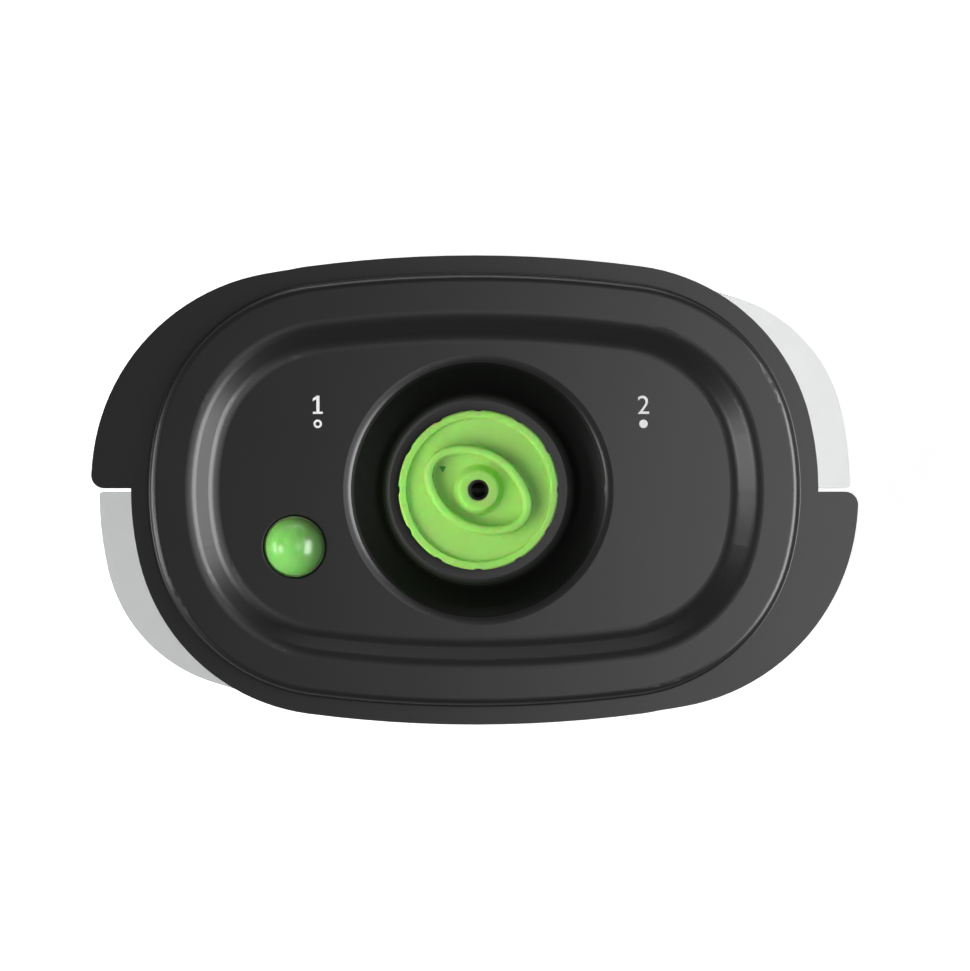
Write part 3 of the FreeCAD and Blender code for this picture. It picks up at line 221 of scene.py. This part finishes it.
def outline(curve, corners):
    """Add a closed line through corners to a curve."""
    spline = curve.splines.new("POLY")
    spline.points.add(len(corners) - 1)
    for point, (x, y) in zip(spline.points, corners):
        point.co = (x, y, 0, 1)
    spline.use_cyclic_u = True


def ring_corners(radius):
    """Return the corners of a many-sided ring."""
    turns = [2*math.pi*i/DOT_SIDES for i in range(DOT_SIDES)]
    return [(radius*math.cos(turn), radius*math.sin(turn)) for turn in turns]


one = bpy.data.curves.new("numeral_1", "CURVE")
outline(one, [(x*ONE_TALL_MM*MM, y*ONE_TALL_MM*MM) for x, y in ONE_OUTLINE])
two = bpy.data.curves.new("numeral_2", "FONT")
two.body = "2"
two.size = NUMERAL_MM*MM
for number, numeral, ring, x_mm in (("1", one, True, MARK_1_X_MM), ("2", two, False, MARK_2_X_MM)):
    printed(f"mark_numeral_{number}", numeral, x_mm, MARKS_Y_MM)
    dot = bpy.data.curves.new(f"dot_{number}", "CURVE")
    outline(dot, ring_corners(DOT_MM/2*MM))
    if ring:
        outline(dot, ring_corners((DOT_MM/2 - RING_WALL_MM)*MM))
    printed(f"mark_dot_{number}", dot, x_mm, MARKS_Y_MM - DOT_DROP_MM)


# Splash guard and indicator cup: dark grey polypropylene caps that snap on under the lid.
# Moulded in a plain blasted mould, duller than the lid and without its grain.
BLAST_MM = 1.2

grey_caps, tree, place, surface = new_material("polypropylene_grey_blasted")
blast = add(tree, "ShaderNodeTexNoise", {}, {"Vector": place, "Scale": 1/(BLAST_MM*MM), "Detail": 3.0})
tone = add(tree, "ShaderNodeMix", {"data_type": "RGBA"}, {
    "Factor": blast.outputs["Fac"], "A": linear("#3b3c3d"), "B": linear("#454647")})
shader = add(tree, "ShaderNodeBsdfPrincipled", {}, {
    "Base Color": tone.outputs["Result"], "Roughness": 0.52, "IOR": 1.49})
tree.links.new(shader.outputs["BSDF"], surface)
dress(grey_caps, "guard_grey", "splash_guard", "indicator_cup")


# Dial: one moulding of green polypropylene, with the grip ring, the boss of the hose port and the
# hollow stem. The plastic lets a little light in, which softens its shadows; the face is satin.
# A thin dark green triangle lies on the floor of the triangle engraved in the dish and points at the
# marks.
SATIN_MM = 1.1      # the real texture is about 0.2; drawn coarser, so that it shows
SATIN_DEPTH_MM = 0.012
LIGHT_DEPTH_MM = 6.0                    # how far green light gets into the plastic
DIAL_TURN = 150                         # how the dial stands at rest
POINTER_MM, POINTER_TURN = 15.6, 120    # the engraved triangle from the axis, and its own turn
POINTER_WIDE_MM, POINTER_TALL_MM = 2.6, 2.3
POINTER_FLOOR_MM, POINTER_LAYER_MM = 79.9, 0.08

green_dial, tree, place, surface = new_material("polypropylene_green_satin")
satin = add(tree, "ShaderNodeTexNoise", {}, {"Vector": place, "Scale": 1/(SATIN_MM*MM), "Detail": 3.0})
bumps = add(tree, "ShaderNodeBump", {}, {
    "Height": satin.outputs["Fac"], "Strength": 0.5, "Distance": SATIN_DEPTH_MM*MM})
tone = add(tree, "ShaderNodeMix", {"data_type": "RGBA"}, {
    "Factor": satin.outputs["Fac"], "A": linear("#a0da68"), "B": linear("#a6dd70")})
shader = add(tree, "ShaderNodeBsdfPrincipled", {}, {
    "Base Color": tone.outputs["Result"], "Roughness": 0.48, "IOR": 1.49, "Specular IOR Level": 0.12,
    "Subsurface Weight": 1.0, "Subsurface Radius": (0.015, 1.0, 0.06),
    "Subsurface Scale": LIGHT_DEPTH_MM*MM, "Normal": bumps.outputs["Normal"]})
tree.links.new(shader.outputs["BSDF"], surface)
dress(green_dial, "dial_green", "knob")

# The dark green of the thin triangle in the engraving, darker than the dial.
pointer_dark_green, tree, place, surface = new_material("pointer_dark_green_layer")
brushed = add(tree, "ShaderNodeTexNoise", {}, {
    "Vector": place, "Scale": 1/(SATIN_MM*MM), "Detail": 2.0})
tone = add(tree, "ShaderNodeMix", {"data_type": "RGBA"}, {
    "Factor": brushed.outputs["Fac"], "A": linear("#14842c"), "B": linear("#1c8c34")})
shader = add(tree, "ShaderNodeBsdfPrincipled", {}, {
    "Base Color": tone.outputs["Result"], "Roughness": 0.6, "IOR": 1.5, "Specular IOR Level": 0.1})
tree.links.new(shader.outputs["BSDF"], surface)

pointer_spot = (Matrix.Translation((DIAL_X_MM*MM, 0, POINTER_FLOOR_MM*MM))
                @ Matrix.Rotation(math.radians(DIAL_TURN), 4, "Z")
                @ Matrix.Translation((POINTER_MM*MM, 0, 0))
                @ Matrix.Rotation(math.radians(POINTER_TURN), 4, "Z"))
pointer_corners = [(POINTER_TALL_MM/2, 0), (-POINTER_TALL_MM/2, POINTER_WIDE_MM/2),
                   (-POINTER_TALL_MM/2, -POINTER_WIDE_MM/2)]
pointer_mesh = bpy.data.meshes.new("pointer_dark_triangle")
pointer_mesh.from_pydata(
    [pointer_spot @ Vector((x*MM, y*MM, z*MM)) for z in (0, POINTER_LAYER_MM) for x, y in pointer_corners], [],
    [(2, 1, 0), (3, 4, 5), (0, 1, 4, 3), (1, 2, 5, 4), (2, 0, 3, 5)])
pointer_mesh.materials.append(pointer_dark_green)
pointer = bpy.data.objects.new("pointer_dark_triangle", pointer_mesh)
bpy.context.scene.collection.objects.link(pointer)
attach(pointer, "knob")


# Port seal, stem O-ring and indicator O-ring: black silicone, matt, with a faint moulded grain.
# The seal sits in the dial's port, the rings in grooves of the stem and the indicator's piston.
black_silicone, tree, place, surface = new_material("silicone_black_moulded")
bloom = add(tree, "ShaderNodeTexNoise", {}, {"Vector": place, "Scale": 1/(BLOOM_MM*MM), "Detail": 4.0})
tone = add(tree, "ShaderNodeMix", {"data_type": "RGBA"}, {
    "Factor": bloom.outputs["Fac"], "A": linear("#060606"), "B": linear("#0a0a0a")})
shader = add(tree, "ShaderNodeBsdfPrincipled", {}, {
    "Base Color": tone.outputs["Result"], "Roughness": 0.6, "IOR": 1.41})
tree.links.new(shader.outputs["BSDF"], surface)
dress(black_silicone, "silicone_black", "port_seal", "stem_o_ring", "indicator_o_ring")


# Thrust washer and valve retainer: white acetal, turned from rod, with fine tool marks round it.
# The washer lies under the lid's hub; the retainer sits in the stem's lower end.
TOOL_MARK_MM = 0.4
TOOL_MARK_DEPTH_MM = 0.01

white_acetal, tree, place, surface = new_material("acetal_white_turned")
tool_marks = add(tree, "ShaderNodeTexWave", {"wave_type": "RINGS", "rings_direction": "Z"}, {
    "Vector": place, "Scale": 1/(TOOL_MARK_MM*MM), "Distortion": 0.5})
turned = add(tree, "ShaderNodeBump", {}, {
    "Height": tool_marks.outputs["Fac"], "Strength": 0.2, "Distance": TOOL_MARK_DEPTH_MM*MM})
shader = add(tree, "ShaderNodeBsdfPrincipled", {}, {
    "Base Color": linear("#e9e8e2"), "Roughness": 0.35, "IOR": 1.48,
    "Normal": turned.outputs["Normal"]})
tree.links.new(shader.outputs["BSDF"], surface)
dress(white_acetal, "acetal_white", "thrust_washer", "valve_retainer")


# Springs and retaining clip: hard-drawn spring steel, bright with uneven gloss. The clip is
# stamped; both springs are wound from round wire, the stem's to pull the dial down, the
# indicator's to lift the dome.
DRAW_MM = 0.3
STEM_TURNS, STEM_WIRE_MM = 2.5, 0.4     # the turns of a spring and the radius of its wire
LIFT_TURNS, LIFT_WIRE_MM = 5, 0.45
TURN_STEPS, WIRE_SIDES = 64, 12

spring_steel, tree, place, surface = new_material("spring_steel_hard_drawn")
drawing = add(tree, "ShaderNodeTexNoise", {}, {"Vector": place, "Scale": 1/(DRAW_MM*MM), "Detail": 2.0})
gloss = add(tree, "ShaderNodeMapRange", {}, {
    "Value": drawing.outputs["Fac"], "To Min": 0.22, "To Max": 0.34})
shader = add(tree, "ShaderNodeBsdfPrincipled", {}, {
    "Base Color": linear("#b9babb"), "Metallic": 1.0, "Roughness": gloss.outputs["Result"]})
tree.links.new(shader.outputs["BSDF"], surface)
dress(spring_steel, "spring_steel", "retaining_clip")

winding = bpy.data.node_groups.new("wound_spring", "GeometryNodeTree")
winding.is_modifier = True
spring_inputs = {}
for name, kind in (("Turns", "NodeSocketFloat"), ("Radius", "NodeSocketFloat"),
                   ("Height", "NodeSocketFloat"), ("Wire", "NodeSocketFloat"),
                   ("Place", "NodeSocketVector"), ("Steel", "NodeSocketMaterial")):
    spring_input = winding.interface.new_socket(name, in_out="INPUT", socket_type=kind)
    spring_inputs[name] = spring_input.identifier
winding.interface.new_socket("Geometry", in_out="OUTPUT", socket_type="NodeSocketGeometry")
given = add(winding, "NodeGroupInput", {}, {})
coil = add(winding, "GeometryNodeCurveSpiral", {}, {
    "Resolution": TURN_STEPS, "Rotations": given.outputs["Turns"],
    "Start Radius": given.outputs["Radius"], "End Radius": given.outputs["Radius"],
    "Height": given.outputs["Height"]})
wire = add(winding, "GeometryNodeCurvePrimitiveCircle", {}, {
    "Resolution": WIRE_SIDES, "Radius": given.outputs["Wire"]})
wound = add(winding, "GeometryNodeCurveToMesh", {}, {
    "Curve": coil.outputs["Curve"], "Profile Curve": wire.outputs["Curve"], "Fill Caps": True})
placed = add(winding, "GeometryNodeTransform", {}, {
    "Geometry": wound.outputs["Mesh"], "Translation": given.outputs["Place"]})
whole = add(winding, "GeometryNodeRealizeInstances", {}, {"Geometry": placed.outputs["Geometry"]})
finished = add(winding, "GeometryNodeSetMaterial", {}, {
    "Geometry": whole.outputs["Geometry"], "Material": given.outputs["Steel"]})
add(winding, "NodeGroupOutput", {}, {"Geometry": finished.outputs["Geometry"]})


def wind(name, node, turns, wire_mm):
    """Wind a spring of a wire's radius that fills the place of a CAD node."""
    low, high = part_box(node)
    middle = (low + high)/2
    values = {
        "Turns": turns, "Wire": wire_mm*MM, "Radius": (high.x - low.x)/2 - wire_mm*MM,
        "Height": high.z - low.z - 2*wire_mm*MM,
        "Place": (middle.x, middle.y, low.z + wire_mm*MM), "Steel": spring_steel}
    blank = bpy.data.objects.new(f"{name}_blank", bpy.data.meshes.new(f"{name}_blank"))
    modifier = blank.modifiers.new("winding", "NODES")
    modifier.node_group = winding
    for key, value in values.items():
        modifier[spring_inputs[key]] = value
    mesh = meshed(blank)
    mesh.polygons.foreach_set("use_smooth", [True]*len(mesh.polygons))
    piece = bpy.data.objects.new(name, mesh)
    bpy.context.scene.collection.objects.link(piece)
    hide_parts(node)
    return piece


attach(wind("stem_spring_wound", "stem_spring", STEM_TURNS, STEM_WIRE_MM), "knob")
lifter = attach(wind("indicator_spring_wound", "indicator_spring", LIFT_TURNS, LIFT_WIRE_MM), "lid")
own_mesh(lifter)


# Indicator: a green dome on a hollow piston, moulded in polished ABS, so it is the one glossy
# piece of the lid. It lets light in as the dial does.
POLISH_MM = 6

green_dome, tree, place, surface = new_material("ABS_green_polished")
polish = add(tree, "ShaderNodeTexNoise", {}, {"Vector": place, "Scale": 1/(POLISH_MM*MM), "Detail": 2.0})
gloss = add(tree, "ShaderNodeMapRange", {}, {
    "Value": polish.outputs["Fac"], "To Min": 0.22, "To Max": 0.28})
shader = add(tree, "ShaderNodeBsdfPrincipled", {}, {
    "Base Color": linear("#86ca68"), "Roughness": gloss.outputs["Result"], "IOR": 1.53,
    "Specular IOR Level": 0.22, "Subsurface Weight": 1.0, "Subsurface Radius": (0.05, 1.0, 0.12),
    "Subsurface Scale": LIGHT_DEPTH_MM*MM})
tree.links.new(shader.outputs["BSDF"], surface)
dress(green_dome, "dome_green", "indicator_button")


# Studio: a white floor that runs up into a low cove, and a long lens that looks straight down.
# The colour lamps stand behind a polariser, so they light the colours and leave no glare on the
# black lid; the gloss lamps and the world only show as highlights.
COVE_RADIUS, COVE_HEIGHT, COVE_BEND = 6.0, 0.8, 0.6     # in metres, as are the next lengths
COVE_SIDES, BEND_STEPS = 96, 6
FLOOR_GLOW, THROUGH_GLOW = 0.9, 0.36    # the second is what shows through the clear tray
LID_LEVEL = 0.089
CAMERA_HEIGHT = 2.2                     # above the lid
CAMERA_X_MM, CAMERA_Y_MM = 3.9, 1.7
FRAME_WIDTH = 0.3666                    # what the photograph's long side covers at the lid
SENSOR_WIDTH_MM = 36.0
FAR_END = 50.0                          # how far the camera sees

bends = [math.radians(90*(step + 1)/BEND_STEPS) for step in range(BEND_STEPS)]
rings = [(COVE_RADIUS - COVE_BEND, 0.0)]
rings += [(COVE_RADIUS - COVE_BEND*(1 - math.sin(bend)), COVE_BEND*(1 - math.cos(bend)))
          for bend in bends]
rings += [(COVE_RADIUS, COVE_HEIGHT)]
turns = [2*math.pi*i/COVE_SIDES for i in range(COVE_SIDES)]
points = [(0, 0, 0)]
for radius, height in rings:
    points += [(radius*math.cos(turn), radius*math.sin(turn), height) for turn in turns]
faces = []
for i in range(COVE_SIDES):
    j = (i + 1) % COVE_SIDES
    faces.append((0, 1 + i, 1 + j))
    for k in range(len(rings) - 1):
        inner = 1 + k*COVE_SIDES
        outer = inner + COVE_SIDES
        faces.append((inner + i, outer + i, outer + j, inner + j))
cove_mesh = bpy.data.meshes.new("cove")
cove_mesh.from_pydata(points, [], faces)
cove_mesh.polygons.foreach_set("use_smooth", [True]*len(faces))
cove = bpy.data.objects.new("cove", cove_mesh)
bpy.context.scene.collection.objects.link(cove)

paper, tree, place, surface = new_material("paper_white")
ray = add(tree, "ShaderNodeLightPath", {}, {})
seen = add(tree, "ShaderNodeMath", {"operation": "MAXIMUM"}, {
    0: ray.outputs["Is Camera Ray"], 1: ray.outputs["Is Glossy Ray"]})
bare = add(tree, "ShaderNodeMath", {"operation": "MULTIPLY"}, {0: seen.outputs["Value"], 1: FLOOR_GLOW})
level = add(tree, "ShaderNodeMix", {}, {
    0: ray.outputs["Is Transmission Ray"], 2: bare.outputs["Value"], 3: THROUGH_GLOW})
glow = add(tree, "ShaderNodeEmission", {}, {"Color": linear("#ffffff"), "Strength": level.outputs[0]})
matt = add(tree, "ShaderNodeBsdfDiffuse", {}, {"Color": linear("#b8b8b8")})
both = add(tree, "ShaderNodeAddShader", {}, {0: glow.outputs["Emission"], 1: matt.outputs["BSDF"]})
tree.links.new(both.outputs["Shader"], surface)
cove_mesh.materials.append(paper)

# Each lamp's name, kind, size, power, turn and climb in degrees, and distance from the lid.
for name, kind, size, power, turn, climb, reach in (
        ("colour_left", "colour", (0.70, 0.55), 6.8, 200, 44, 0.75),
        ("colour_top", "colour", (1.20, 1.20), 2.6, 0, 89, 0.85),
        ("gloss_right", "gloss", (0.70, 0.38), 21.5, -4, 39, 0.75),
        ("gloss_left", "gloss", (0.26, 0.16), 3.2, 192, 33, 0.75),
        ("gloss_left_low", "gloss", (0.40, 0.15), 4.5, 185, 6, 0.75),
        ("gloss_back_low", "gloss", (0.60, 0.12), 2.2, 90, 4, 0.75),
        ("gloss_high", "gloss", (0.50, 0.24), 2.5, -5, 77, 0.85)):
    lamp = bpy.data.lights.new(name, "AREA")
    lamp.shape = "RECTANGLE"
    lamp.size, lamp.size_y = size
    lamp.energy = power
    holder = bpy.data.objects.new(name, lamp)
    turn, climb = math.radians(turn), math.radians(climb)
    aim = Vector((math.cos(climb)*math.cos(turn), math.cos(climb)*math.sin(turn), math.sin(climb)))
    holder.location = Vector((0, 0, LID_LEVEL)) + reach*aim
    holder.rotation_euler = aim.to_track_quat("Z", "Y").to_euler()
    holder.visible_camera = False
    holder.visible_diffuse = kind == "colour"
    holder.visible_glossy = kind == "gloss"
    bpy.context.scene.collection.objects.link(holder)

world = bpy.data.worlds.new("studio_grey")
world.use_nodes = True
background = world.node_tree.nodes["Background"]
background.inputs["Color"].default_value = linear("#bcbcbc")
background.inputs["Strength"].default_value = 1.0
world.cycles_visibility.diffuse = False
bpy.context.scene.world = world

lens = bpy.data.cameras.new("camera")
lens.sensor_width = SENSOR_WIDTH_MM
lens.lens = SENSOR_WIDTH_MM*CAMERA_HEIGHT/FRAME_WIDTH
lens.clip_end = FAR_END
camera = bpy.data.objects.new("camera", lens)
camera.location = (CAMERA_X_MM*MM, CAMERA_Y_MM*MM, LID_LEVEL + CAMERA_HEIGHT)
bpy.context.scene.collection.objects.link(camera)
bpy.context.scene.camera = camera
bpy.context.scene.view_settings.view_transform = "Standard"
